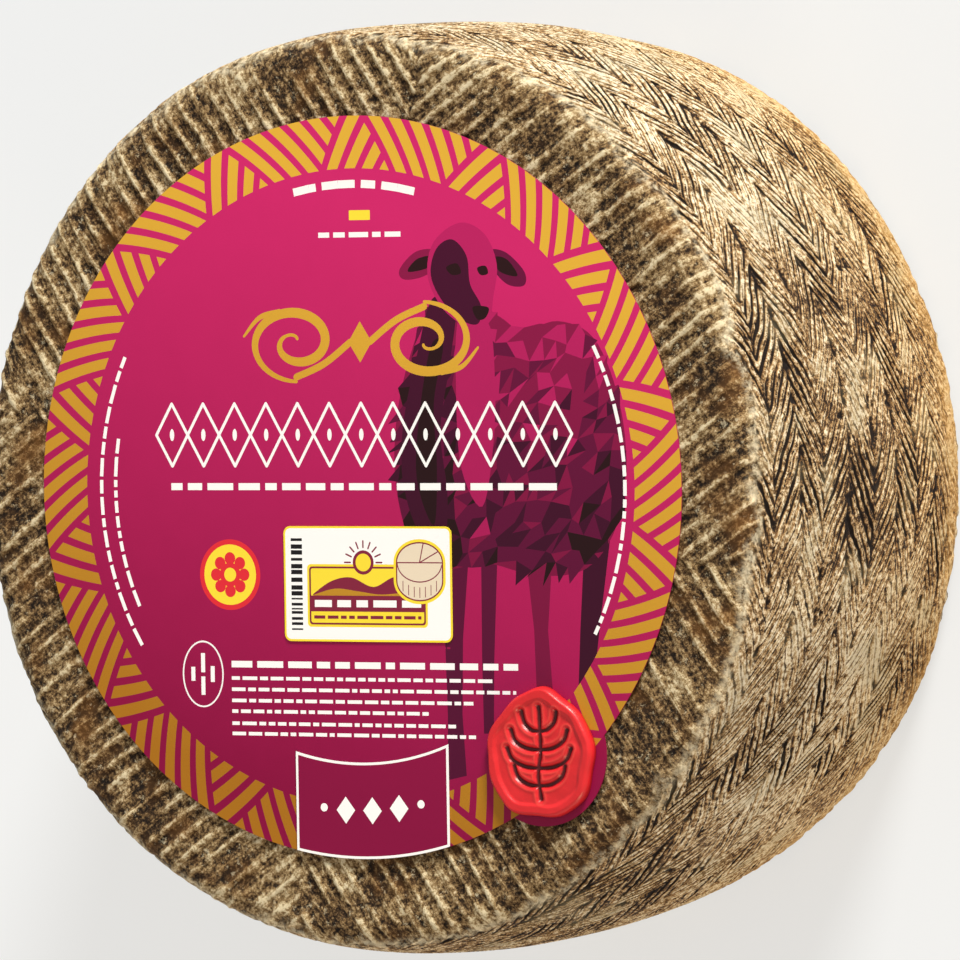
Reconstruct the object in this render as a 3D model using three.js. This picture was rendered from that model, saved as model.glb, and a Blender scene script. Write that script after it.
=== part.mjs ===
// A whole wheel of pressed, hard cheese with its paper label, its two stickers and its wax seal.
//
// Millimetres, +Z up. The wheel rests on its unlabelled face at z = 0, centred on the Z axis.
// The labelled face is on top. +Y is the way up of the print, +X is its right-hand side.

import * as THREE from 'three';

// ---- Driving dimensions -------------------------------------------------------------------

// The wheel.
const WHEEL_HEIGHT = 98.0; // face to face
const BELLY_DIAMETER = 200.0; // mean width at half height
const BELLY_BULGE = 3.9; // how far the side swells beyond the two faces, per side
const EDGE_ROUNDING = 5.5; // radius of the edge between a face and the side
const OVALITY = 0.9; // the press leaves it this much narrower in X and wider in Y, per side

// The paper label.
const RIND_MARGIN = 12.2; // flat rind left bare round the label
const LABEL_SHIFT_Y = 0.7; // the label is laid on by hand, a little off the centre
const LABEL_THICKNESS = 0.25;
const TAB_MARGIN = 1.9; // label paper that shows round the seal

// The white number sticker.
const STICKER_WIDTH = 41.6;
const STICKER_HEIGHT = 24.6;
const STICKER_CORNER = 1.6;
const STICKER_RIGHT = 2.6; // its centre, right of the label's centre
const STICKER_DOWN = 20.5; // its centre, below the label's centre
const STICKER_THICKNESS = 0.15;

// The curved age tag at the label's lower edge.
const TAG_WIDTH = 37.8;
const TAG_DEPTH = 18.7; // from the label's edge inwards
const TAG_RIGHT = 3.0; // its middle, right of the label's centre
const TAG_THICKNESS = 0.15;

// The wax seal, right of the tag and overhanging the label's edge.
const SEAL_WIDTH = 26.2;
const SEAL_LENGTH = 28.0;
const SEAL_GAP = 9.8; // clear label between the tag and the seal
const SEAL_INSET = 7.3; // its centre, inwards from the label's edge
const SEAL_THICKNESS = 2.2;
const SEAL_EDGE = 0.8; // rounding of the wax's upper and lower edge
const SEAL_WAVE = 0.3; // height of the uneven waves round its outline
const SEAL_WAVES = 5; // how many of them
const SEAL_TAPER = 0.1; // share by which its upper end is narrower, and its lower end wider

// The film of glue under each paper or wax piece.
const GLUE_FILM = 0.1;

// Fineness of the faceting.
const WHEEL_SEGMENTS = 96;
const EDGE_STEPS = 5;
const BELLY_STEPS = 8;
const LABEL_STEPS = 96;
const TAB_STEPS = 24;
const STICKER_CORNER_STEPS = 6;
const TAG_ARC_STEPS = 16;
const SEAL_STEPS = 48;
const SEAL_EDGE_STEPS = 3;

// ---- Derived places -----------------------------------------------------------------------

const BELLY_RADIUS = BELLY_DIAMETER / 2;
const HALF_HEIGHT = WHEEL_HEIGHT / 2;

// The side is one arc through the two nominal corners and the widest point.
const SIDE_ARC_RADIUS = (HALF_HEIGHT ** 2 + BELLY_BULGE ** 2) / (2 * BELLY_BULGE);
const SIDE_ARC_X = BELLY_RADIUS - SIDE_ARC_RADIUS;

// The edge rounding touches the face and the side arc.
const EDGE_ARC_X = SIDE_ARC_X
  + Math.sqrt((SIDE_ARC_RADIUS - EDGE_ROUNDING) ** 2 - (HALF_HEIGHT - EDGE_ROUNDING) ** 2);
const EDGE_ANGLE = Math.atan2(HALF_HEIGHT - EDGE_ROUNDING, EDGE_ARC_X - SIDE_ARC_X);

const LABEL_RADIUS = EDGE_ARC_X - RIND_MARGIN;
const LABEL_BASE = WHEEL_HEIGHT + GLUE_FILM;
const ON_LABEL = LABEL_BASE + LABEL_THICKNESS + GLUE_FILM;

const SEAL_X = TAG_RIGHT + TAG_WIDTH / 2 + SEAL_GAP + SEAL_WIDTH / 2;
const SEAL_DISTANCE = LABEL_RADIUS - SEAL_INSET;
const SEAL_Y = -Math.sqrt(SEAL_DISTANCE ** 2 - SEAL_X ** 2);

// ---- Helpers ------------------------------------------------------------------------------

/** Points along an arc, both ends included. */
function arcPoints(x, y, radius, from, to, steps) {
  return Array.from({ length: steps + 1 }, (_, step) => {
    const angle = from + ((to - from) * step) / steps;
    return new THREE.Vector2(x + radius * Math.cos(angle), y + radius * Math.sin(angle));
  });
}

/** A flat piece of paper with the given outline, its lower side at z = 0. */
function paper(outline, thickness) {
  return new THREE.ExtrudeGeometry(outline, { depth: thickness, bevelEnabled: false });
}

/** A named mesh with a plain material. */
function piece(name, geometry, color, roughness) {
  const material = new THREE.MeshStandardMaterial({ color, roughness, metalness: 0 });
  const mesh = new THREE.Mesh(geometry, material);
  mesh.name = name;
  return mesh;
}

// ---- The wheel ----------------------------------------------------------------------------

/** The solid wheel: flat faces, rounded edges and a swelling side. */
function wheelGeometry() {
  const quarter = Math.PI / 2;
  const lowerEdge = arcPoints(
    EDGE_ARC_X, EDGE_ROUNDING, EDGE_ROUNDING, -quarter, -EDGE_ANGLE, EDGE_STEPS,
  );
  const side = arcPoints(
    SIDE_ARC_X, HALF_HEIGHT, SIDE_ARC_RADIUS, -EDGE_ANGLE, EDGE_ANGLE, BELLY_STEPS,
  );
  const upperEdge = arcPoints(
    EDGE_ARC_X, WHEEL_HEIGHT - EDGE_ROUNDING, EDGE_ROUNDING, EDGE_ANGLE, quarter, EDGE_STEPS,
  );
  const profile = [
    new THREE.Vector2(0, 0),
    ...lowerEdge,
    ...side.slice(1, -1),
    ...upperEdge,
    new THREE.Vector2(0, WHEEL_HEIGHT),
  ];
  const geometry = new THREE.LatheGeometry(profile, WHEEL_SEGMENTS);
  geometry.rotateX(quarter);
  geometry.scale(1 - OVALITY / BELLY_RADIUS, 1 + OVALITY / BELLY_RADIUS, 1);
  return geometry;
}

// ---- The paper and the wax ----------------------------------------------------------------

/** A round label with a tab that reaches out under the seal. */
function labelOutline() {
  const tabRadius = (SEAL_WIDTH + SEAL_LENGTH) / 4 + TAB_MARGIN;
  const toSeal = Math.atan2(SEAL_Y, SEAL_X);
  const labelHalf = Math.acos(
    (SEAL_DISTANCE ** 2 + LABEL_RADIUS ** 2 - tabRadius ** 2) / (2 * SEAL_DISTANCE * LABEL_RADIUS),
  );
  const tabHalf = Math.PI - Math.acos(
    (SEAL_DISTANCE ** 2 + tabRadius ** 2 - LABEL_RADIUS ** 2) / (2 * SEAL_DISTANCE * tabRadius),
  );
  const round = arcPoints(
    0, 0, LABEL_RADIUS, toSeal + labelHalf, toSeal - labelHalf + 2 * Math.PI, LABEL_STEPS,
  );
  const tab = arcPoints(
    SEAL_X, SEAL_Y, tabRadius, toSeal - tabHalf, toSeal + tabHalf, TAB_STEPS,
  );
  return new THREE.Shape([...round, ...tab.slice(1, -1)]);
}

/** A rectangle with rounded corners, centred on its own origin. */
function stickerOutline() {
  const x = STICKER_WIDTH / 2 - STICKER_CORNER;
  const y = STICKER_HEIGHT / 2 - STICKER_CORNER;
  const quarter = Math.PI / 2;
  const corners = [[x, y], [-x, y], [-x, -y], [x, -y]];
  return new THREE.Shape(corners.flatMap(([cornerX, cornerY], turn) => arcPoints(
    cornerX, cornerY, STICKER_CORNER, turn * quarter, (turn + 1) * quarter, STICKER_CORNER_STEPS,
  )));
}

/** A tag with upright sides between two arcs, the outer one flush with the label's edge. */
function tagOutline() {
  const left = TAG_RIGHT - TAG_WIDTH / 2;
  const right = TAG_RIGHT + TAG_WIDTH / 2;
  const inner = LABEL_RADIUS - TAG_DEPTH;
  const outerArc = arcPoints(
    0, 0, LABEL_RADIUS,
    -Math.acos(left / LABEL_RADIUS), -Math.acos(right / LABEL_RADIUS), TAG_ARC_STEPS,
  );
  const innerArc = arcPoints(
    0, 0, inner, -Math.acos(right / inner), -Math.acos(left / inner), TAG_ARC_STEPS,
  );
  return new THREE.Shape([...outerArc, ...innerArc]);
}

/** Poured wax: an egg-shaped pat with an uneven outline and rounded edges. */
function sealGeometry() {
  const halfWidth = SEAL_WIDTH / 2 - SEAL_EDGE;
  const halfLength = SEAL_LENGTH / 2 - SEAL_EDGE;
  const outline = Array.from({ length: SEAL_STEPS }, (_, step) => {
    const angle = (2 * Math.PI * step) / SEAL_STEPS;
    const wave = SEAL_WAVE * Math.sin(SEAL_WAVES * angle);
    const taper = 1 - SEAL_TAPER * Math.sin(angle);
    return new THREE.Vector2(
      (halfWidth + wave) * taper * Math.cos(angle),
      (halfLength + wave) * Math.sin(angle),
    );
  });
  const geometry = new THREE.ExtrudeGeometry(new THREE.Shape(outline), {
    depth: SEAL_THICKNESS - 2 * SEAL_EDGE,
    bevelThickness: SEAL_EDGE,
    bevelSize: SEAL_EDGE,
    bevelSegments: SEAL_EDGE_STEPS,
  });
  geometry.translate(0, 0, SEAL_EDGE);
  return geometry;
}

// ---- Assembly -----------------------------------------------------------------------------

const wheel = piece('cheese_wheel', wheelGeometry(), 0xa08a63, 0.9);

const label = piece('face_label', paper(labelOutline(), LABEL_THICKNESS), 0xc22568, 0.5);
label.position.set(0, LABEL_SHIFT_Y, LABEL_BASE);

const sticker = piece('number_sticker', paper(stickerOutline(), STICKER_THICKNESS), 0xf6f4ee, 0.45);
sticker.position.set(STICKER_RIGHT, LABEL_SHIFT_Y - STICKER_DOWN, ON_LABEL);

const tag = piece('age_tag', paper(tagOutline(), TAG_THICKNESS), 0x9b1a4d, 0.5);
tag.position.set(0, LABEL_SHIFT_Y, ON_LABEL);

const seal = piece('wax_seal', sealGeometry(), 0xe2302c, 0.35);
seal.position.set(SEAL_X, LABEL_SHIFT_Y + SEAL_Y, ON_LABEL);

const group = new THREE.Group();
group.add(wheel, label, sticker, tag, seal);

export default group;
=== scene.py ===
"""Dresses a packed wheel of hard cheese: its rind, printed label, stickers and wax seal.

The wheel lies on its plain face with the labelled face up. Everything is built in the frame of the
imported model, in metres. Sizes inside the classes are in millimetres, as a maker would state them.
"""

import itertools
import logging
import math
from collections.abc import Callable, Sequence
from dataclasses import dataclass, field
from enum import Enum

import bpy
import numpy as np
from mathutils import Matrix, Quaternion, Vector
from mathutils.geometry import delaunay_2d_cdt


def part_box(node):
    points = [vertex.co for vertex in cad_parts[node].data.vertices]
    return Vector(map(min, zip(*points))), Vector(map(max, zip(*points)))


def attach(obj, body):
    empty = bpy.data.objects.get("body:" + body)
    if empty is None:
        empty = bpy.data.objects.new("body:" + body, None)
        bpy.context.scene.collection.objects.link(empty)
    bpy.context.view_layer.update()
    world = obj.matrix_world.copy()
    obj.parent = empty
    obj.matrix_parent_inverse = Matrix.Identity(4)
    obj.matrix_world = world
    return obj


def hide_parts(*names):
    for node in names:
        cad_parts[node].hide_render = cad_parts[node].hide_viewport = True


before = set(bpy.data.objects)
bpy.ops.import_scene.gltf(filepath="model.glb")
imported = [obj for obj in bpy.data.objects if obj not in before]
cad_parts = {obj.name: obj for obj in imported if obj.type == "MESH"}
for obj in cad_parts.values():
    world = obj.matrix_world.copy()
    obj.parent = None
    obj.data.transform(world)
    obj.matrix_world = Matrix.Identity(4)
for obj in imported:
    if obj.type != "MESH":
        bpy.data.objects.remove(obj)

LOG = logging.getLogger("cheese_wheel")
MM = 0.001
TURN = 2 * math.pi
Point = tuple[float, float]
Stops = tuple[tuple[float, str], ...]
Feeds = dict[str | int, object] | Sequence[object]
# Noise of several sizes: the strength, the size in millimetres and the shift of each.
Waves = tuple[tuple[float, float, float], ...]
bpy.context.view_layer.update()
RIND_MARKS = ("groove", "board", "rim", "damp_and_painted_light")


# ---- Small helpers --------------------------------------------------------------------------


def linear(code: str) -> tuple[float, float, float, float]:
    """Turns an sRGB hex colour into linear light.

    Args:
        code: six hex digits, such as "E9D6AC".

    Returns:
        Red, green, blue and an alpha of 1.
    """
    channels = [int(code[start:start + 2], 16) / 255 for start in (0, 2, 4)]
    light = [c / 12.92 if c <= 0.04045 else ((c + 0.055) / 1.055) ** 2.4 for c in channels]
    return light[0], light[1], light[2], 1.0


def smooth(low: float, high: float, value: np.ndarray) -> np.ndarray:
    """Eases from 0 at low to 1 at high."""
    part = np.clip((value - low) / (high - low), 0.0, 1.0)
    return part * part * (3 - 2 * part)


def feed(node: bpy.types.Node, inputs: Feeds) -> None:
    """Gives a node's sockets, by name or number, their values or the sockets that feed them."""
    for socket, value in inputs.items() if isinstance(inputs, dict) else enumerate(inputs):
        if isinstance(value, bpy.types.NodeSocket):
            node.id_data.links.new(value, node.inputs[socket])
        else:
            node.inputs[socket].default_value = value


def add_node(
    tree: bpy.types.NodeTree, kind: str, inputs: Feeds = (), out: str | int = 0,
    stops: Sequence[tuple[float, str]] = (), **settings: object,
) -> bpy.types.NodeSocket | None:
    """Adds a shader node with its settings, values and links.

    Args:
        tree: the node tree that it goes into.
        kind: the node's type, without "ShaderNode".
        inputs: a value or a feeding socket for each socket, in order or by name or number.
        out: the wanted output, by name or number.
        stops: for a colour ramp, each stop's position and hex colour.
        settings: the node's own properties.

    Returns:
        The wanted output, or None for a node that has none.
    """
    made = tree.nodes.new(f"ShaderNode{kind}")
    for name, value in settings.items():
        setattr(made, name, value)
    feed(made, inputs)
    for index, (position, code) in enumerate(stops):
        ramp = made.color_ramp.elements
        stop = ramp[index] if index < 2 else ramp.new(position)
        stop.position = position
        stop.color = linear(code)
    return made.outputs[out] if made.outputs else None


def new_material(name: str) -> tuple[bpy.types.Material, bpy.types.NodeTree, bpy.types.Node]:
    """Starts a material, and gives it with its node tree and its shader."""
    material = bpy.data.materials.new(name)
    material.use_nodes = True
    return material, material.node_tree, material.node_tree.nodes["Principled BSDF"]


def add_object(data: bpy.types.ID, name: str) -> bpy.types.Object:
    """Puts a mesh, a lamp or a camera into the scene."""
    thing = bpy.data.objects.new(name, data)
    bpy.context.scene.collection.objects.link(thing)
    return thing


def stand_for(mesh: bpy.types.Mesh, node: str) -> bpy.types.Object:
    """Makes a mesh the piece that stands for a node of the model, and hides that node."""
    piece = add_object(mesh, mesh.name)
    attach(piece, "root")
    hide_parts(node)
    LOG.info("%s: %d faces", piece.name, len(mesh.polygons))
    return piece


def box_mm(node: str) -> tuple[Vector, Vector]:
    """The lowest and highest corner of a node of the model, in millimetres."""
    low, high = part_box(node)
    return low / MM, high / MM


@dataclass(frozen=True)
class LatticeNoise:
    """Smooth seeded noise in three dimensions, from -1 to 1."""

    seed: int

    def lattice(self, cells: np.ndarray) -> np.ndarray:
        """Gives each whole-numbered cell its own value."""
        mixed = (cells @ np.array([73856093, 19349663, 83492791]) + self.seed).astype(np.uint64)
        for shift in (13, 17, 5):
            mixed = (mixed ^ (mixed >> np.uint64(shift))) * np.uint64(1274126177)
        return ((mixed >> np.uint64(20)) & np.uint64(0xFFFF)) / 32767.5 - 1.0

    def at(self, points: np.ndarray, cell: float) -> np.ndarray:
        """Reads the noise.

        Args:
            points: an array of n points.
            cell: size of the noise's features, in the points' units.

        Returns:
            An array of n values.
        """
        grid = points / cell
        base = np.floor(grid).astype(np.int64)
        part = grid - base
        ease = part * part * (3 - 2 * part)
        total = np.zeros(len(points))
        for corner in itertools.product((0, 1), repeat=3):
            offset = np.array(corner)
            weight = np.prod(np.where(offset == 1, ease, 1 - ease), axis=1)
            total += weight * self.lattice(base + offset)
        return total

    def waves(self, points: np.ndarray, waves: Waves) -> np.ndarray:
        """Adds up noise of several sizes."""
        return sum(amount * self.at(points + shift, cell) for amount, cell, shift in waves)


# ---- Finishes -------------------------------------------------------------------------------


@dataclass(frozen=True)
class RindFinish:
    """Natural rind: dried hard cheese, smoothed by rubbing, that took the print of a plaited mould.

    The eye sees straw-coloured crests over dark grooves; their dark is partly dust and partly painted
    shade in the recesses. The two faces, pressed on ridged boards, keep more mould and are browner,
    with pale crests, cream crumbs and rusty patches.
    """

    # Each ramp gives colour by depth, from crest to gap; the near-black of the gaps is partly dust and
    # partly painted shade in the recesses.
    side_stops: Stops = (
        (0.0, "F6E8CB"), (0.2, "D3B98C"), (0.42, "A07A4A"), (0.62, "5C3E20"), (0.8, "1C1109"),
    )
    face_stops: Stops = (
        (0.0, "E6D6B0"), (0.22, "B59C70"), (0.46, "8A6D45"), (0.7, "4B351E"), (0.92, "130B05"),
    )
    mould_grey: str = "958A6A"
    rust: str = "A8702F"
    rim_gold: str = "BE8E48"
    fat: str = "FBE0A6"
    crumb: str = "D9CCA9"
    # Pale edge colour: partly rind worn by handling, partly painted highlight along the edge.
    rubbed_and_highlit: str = "EBDDBB"

    # Sizes of the patterns, in millimetres.
    fibre_gap: float = 0.5
    fibre_length: float = 6.25
    mottle: float = 1.2
    bloom: float = 2.2
    cloud: float = 16.0
    fat_from: float = 60.0
    fat_to: float = 6.0
    bump_height: float = 0.24

    # How strongly the grooves show as dark, which is partly dust and partly painted shade, and how
    # brown the rind is between them.
    side_grooves: float = 1.3
    side_tone: float = 0.21
    face_grooves: float = 0.7
    face_tone: float = 0.08

    def groove_mask(
        self, tree: bpy.types.NodeTree, fibre: bpy.types.NodeSocket, mottle: bpy.types.NodeSocket
    ) -> bpy.types.NodeSocket:
        """Draws the gaps between the strands, and the finer furrow along each strand's middle.

        Args:
            tree: the material's node tree.
            fibre: the fibre noise, which frays the gaps' edges along the strands.
            mottle: the fine mottling, which makes the edges crumbly.

        Returns:
            The socket with 1 in a gap and 0 on a strand.
        """
        weave = add_node(tree, "Attribute", out="Vector", attribute_name="weave")
        parts = add_node(tree, "SeparateXYZ", (weave,)).node.outputs
        phase = add_node(tree, "Math", (parts["Y"], parts["X"]), operation="ARCTAN2")
        share = add_node(tree, "Math", (phase,), operation="ABSOLUTE")
        # Deep gaps are wide ones too.
        widened = add_node(tree, "Math", (parts["Z"], -0.9, share), operation="MULTIPLY_ADD")
        crumbly = add_node(tree, "Math", (mottle, 3.2, widened), operation="MULTIPLY_ADD")
        frayed = add_node(tree, "Math", (fibre, 1.5, crumbly), operation="MULTIPLY_ADD")
        gap = add_node(
            tree, "MapRange", {"Value": frayed, "From Min": 3.6, "From Max": 2.3},
            interpolation_type="SMOOTHSTEP",
        )
        furrow = add_node(
            tree, "MapRange", {"Value": frayed, "From Min": 4.55, "From Max": 5.15, "To Max": 0.3},
            interpolation_type="SMOOTHSTEP",
        )
        deep = add_node(tree, "Math", (gap, parts["Z"]), operation="MULTIPLY")
        return add_node(tree, "Math", (deep, furrow), operation="MAXIMUM")

    def material(self) -> bpy.types.Material:
        """Builds the rind's material, which reads the attributes that the wheel's surface carries."""
        material, tree, shader = new_material("natural_cheese_rind")
        place = add_node(tree, "TexCoord", out="Object")
        groove, board, rim, damp_and_painted_light = (
            add_node(tree, "Attribute", out="Fac", attribute_name=name) for name in RIND_MARKS
        )
        lane = add_node(tree, "Attribute", out="Vector", attribute_name="fibre")

        # Grass fibres run along the strands, over crumbly mottling and larger clouds.
        fineness = (1 / self.fibre_gap, 1 / self.fibre_gap, 1 / self.fibre_length)
        along = add_node(tree, "Mapping", {"Vector": lane, "Scale": fineness})
        fibre = add_node(tree, "TexNoise", {"Vector": along, "Scale": 1.0, "Detail": 3.0})
        mottle = add_node(tree, "TexNoise", {
            "Vector": place, "Scale": 1 / (self.mottle * MM), "Detail": 6.0, "Roughness": 0.82,
        })
        cloud = add_node(tree, "TexNoise", {
            "Vector": place, "Scale": 1 / (self.cloud * MM), "Detail": 3.0, "Roughness": 0.6,
        })

        # How dark a spot looks: its groove, moved by fibre and mottling. The dark of the gaps is partly
        # dust and partly painted shade in the recesses.
        weave = self.groove_mask(tree, fibre, mottle)
        covered = add_node(tree, "Math", (board, rim), operation="MAXIMUM")
        shown = add_node(tree, "Math", (1.0, covered), operation="SUBTRACT", use_clamp=True)
        woven = add_node(tree, "Math", (weave, shown), operation="MULTIPLY")
        gaps = add_node(tree, "Math", (woven, groove), operation="MAXIMUM")
        fibres = add_node(tree, "Math", (fibre, 0.9, -0.45), operation="MULTIPLY_ADD")
        grain = add_node(tree, "Math", (mottle, 2.2, -1.1), operation="MULTIPLY_ADD")
        clouds = add_node(tree, "Math", (cloud, 1.15, -0.55), operation="MULTIPLY_ADD")
        ragged = add_node(tree, "Math", (grain, fibres), operation="ADD")
        worn = add_node(tree, "Math", (ragged, clouds), operation="ADD")
        speckled = add_node(tree, "Math", (grain, 0.55, worn), operation="MULTIPLY_ADD")
        side_depth = add_node(
            tree, "Math", (gaps, self.side_grooves, speckled), operation="MULTIPLY_ADD"
        )
        # The patches darken and pale the side: partly real moist and dry patches, partly painted light
        # and shade.
        patched_depth = add_node(tree, "Math", (side_depth, damp_and_painted_light), operation="ADD")
        side_place = add_node(tree, "Math", (patched_depth, self.side_tone), operation="ADD")
        side = add_node(tree, "ValToRGB", (side_place,), stops=self.side_stops)
        face_depth = add_node(
            tree, "Math", (gaps, self.face_grooves, speckled), operation="MULTIPLY_ADD"
        )
        face_place = add_node(tree, "Math", (face_depth, self.face_tone), operation="ADD")
        face = add_node(tree, "ValToRGB", (face_place,), stops=self.face_stops)

        # Cream bloom and rusty spots lie on the faces in patches.
        bloom = add_node(tree, "TexNoise", {
            "Vector": place, "Scale": 1 / (self.bloom * MM), "Detail": 6.0, "Roughness": 0.8,
        })
        bloomed = add_node(
            tree, "MapRange", {"Value": bloom, "From Min": 0.59, "From Max": 0.64, "To Max": 0.8}
        )
        pale = add_node(tree, "Mix", {0: bloomed, 6: face, 7: linear(self.crumb)}, 2, data_type="RGBA")
        rusty = add_node(
            tree, "MapRange", {"Value": cloud, "From Min": 0.52, "From Max": 0.7, "To Max": 0.3}
        )
        faced = add_node(tree, "Mix", {0: rusty, 6: pale, 7: linear(self.rust)}, 2, data_type="RGBA")

        # Grey mould lies in soft patches on the side, and the lower rim is rusty.
        greyed = add_node(
            tree, "MapRange", {"Value": cloud, "From Min": 0.48, "From Max": 0.34, "To Max": 0.35}
        )
        sided = add_node(
            tree, "Mix", {0: greyed, 6: side, 7: linear(self.mould_grey)}, 2, data_type="RGBA"
        )
        rim_rust = add_node(
            tree, "MapRange", {"Value": bloom, "From Min": 0.38, "From Max": 0.6, "To Max": 0.7}
        )
        rim_part = add_node(tree, "Math", (rim, rim_rust), operation="MULTIPLY")
        # Fat has drained down the side and turned its lower half golden.
        level = add_node(tree, "SeparateXYZ", (place,), "Z")
        fatty = add_node(tree, "MapRange", {
            "Value": level, "From Min": self.fat_from * MM, "From Max": self.fat_to * MM,
            "To Max": 0.6,
        })
        golden = add_node(
            tree, "Mix", {0: fatty, 6: sided, 7: linear(self.fat)}, 2,
            data_type="RGBA", blend_type="MULTIPLY",
        )
        rimmed = add_node(
            tree, "Mix", {0: rim_part, 6: golden, 7: linear(self.rim_gold)}, 2, data_type="RGBA"
        )
        blended = add_node(tree, "Mix", {0: board, 6: rimmed, 7: faced}, 2, data_type="RGBA")
        # The edge between face and side is made pale: partly rind worn pale by handling, partly painted
        # highlight where light catches the edge.
        on_edge = add_node(tree, "MapRange", {"Value": board, "From Min": 0.98, "From Max": 0.6})
        rubbed_and_highlit = add_node(
            tree, "MapRange", {"Value": bloom, "From Min": 0.44, "From Max": 0.56, "To Max": 0.7}
        )
        edge_part = add_node(tree, "Math", (on_edge, rubbed_and_highlit), operation="MULTIPLY")
        off_side = add_node(tree, "MapRange", {"Value": board, "From Min": 0.05, "From Max": 0.35})
        edged = add_node(tree, "Math", (edge_part, off_side), operation="MULTIPLY")
        colour = add_node(
            tree, "Mix", {0: edged, 6: blended, 7: linear(self.rubbed_and_highlit)}, 2, data_type="RGBA"
        )

        # The gaps, the fibres and the mottling stand out as fine relief, up to 0.7 mm deep.
        sunk = add_node(tree, "Math", (woven, 3.0, ragged), operation="MULTIPLY_ADD")
        bump = add_node(
            tree, "Bump", {"Height": sunk, "Distance": self.bump_height * MM}, invert=True
        )
        rough = add_node(tree, "MapRange", {"Value": mottle, "To Min": 0.7, "To Max": 0.95})
        feed(shader, {
            "Base Color": colour, "Normal": bump, "Roughness": rough, "IOR": 1.45,
            "Specular IOR Level": 0.3,
        })
        return material


class Ink(Enum):
    """The inks on the label, the stickers and the tag: each one's lower and upper colour.

    The coloured inks carry painted light and shade: dark at the label's foot and bright at its head, as
    if lit from beyond the head.
    """

    PAPER = ("F7F5EF", "F7F5EF")
    MAGENTA = ("86003A", "D0236A")
    DEEP_MAGENTA = ("85053C", "A80E4C")
    GOLD = ("A66C14", "E2B038")
    WHITE = ("FDFCF9", "FDFCF9")
    FLEECE_LIGHT = ("8C0C44", "BA1C60")
    FLEECE = ("64052F", "8C1046")
    FLEECE_DARK = ("4A032A", "68083A")
    FLEECE_DEEP = ("2C0218", "46042A")
    FLEECE_BLACK = ("1C0408", "280A0E")
    YELLOW = ("F6DC3A", "FBE23C")
    RED = ("DC2A34", "E8303C")
    MAROON = ("7C1F38", "8A2742")
    STRAW = ("E9D9BE", "E9D9BE")
    BLACK = ("1A1718", "1A1718")

    @property
    def slot(self) -> int:
        """The ink's material slot on a printed sheet."""
        return list(Ink).index(self)


@dataclass(frozen=True)
class PrintFinish:
    """Offset ink on coated label paper.

    The coat gives a soft satin shine. The paper's tooth is only 0.35 mm, and the rind beneath
    presses through as a faint ripple. All sizes are in millimetres.
    """

    roughness: float = 0.5
    shine: float = 0.22
    # Painted light and shade across each coloured ink: darkest at the foot level, brightest at the head
    # level, leaning a little to the side.
    painted_shade_foot: float = -70.0
    painted_light_head: float = 62.0
    painted_light_lean: float = 0.3
    tooth: float = 0.35
    cloud: float = 7.0
    unevenness: float = 0.07
    bump_height: float = 0.02

    def material(self, ink: Ink) -> bpy.types.Material:
        """Builds one ink on the paper.

        Args:
            ink: which ink.

        Returns:
            The material.
        """
        material, tree, shader = new_material(f"offset_ink_{ink.name.lower()}")
        place = add_node(tree, "TexCoord", out="Object")
        # Painted light and shade: the ink runs from its dark colour at the label's foot to its bright
        # one at the head.
        uphill = add_node(
            tree, "VectorMath", (place, (self.painted_light_lean / MM, 1 / MM, 0.0)), "Value",
            operation="DOT_PRODUCT",
        )
        fade = add_node(
            tree, "MapRange",
            {"Value": uphill, "From Min": self.painted_shade_foot, "From Max": self.painted_light_head},
        )
        # The ink lies a touch unevenly, in clouds and in the paper's grain.
        grain, cloud = (
            add_node(tree, "TexNoise", {"Vector": place, "Scale": 1 / (size * MM), "Detail": detail})
            for size, detail in ((self.tooth, 1.0), (self.cloud, 2.0))
        )
        uneven = add_node(tree, "Math", (grain, cloud), operation="ADD")
        tone = add_node(
            tree, "Math", (uneven, self.unevenness, -self.unevenness), operation="MULTIPLY_ADD"
        )
        lit_share = add_node(tree, "Math", (fade, tone), operation="ADD", use_clamp=True)
        foot, head = (linear(code) for code in ink.value)
        colour = add_node(tree, "Mix", {0: lit_share, 6: foot, 7: head}, 2, data_type="RGBA")
        bump = add_node(
            tree, "Bump", {"Height": uneven, "Distance": self.bump_height * MM, "Strength": 0.6}
        )
        feed(shader, {
            "Base Color": colour, "Normal": bump, "Roughness": self.roughness,
            "Specular IOR Level": self.shine, "IOR": 1.5,
        })
        return material

    def dress(self, mesh: bpy.types.Mesh) -> None:
        """Gives a sheet one material slot for each ink."""
        for ink in Ink:
            known = bpy.data.materials.get(f"offset_ink_{ink.name.lower()}")
            mesh.materials.append(known or self.material(ink))


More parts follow.
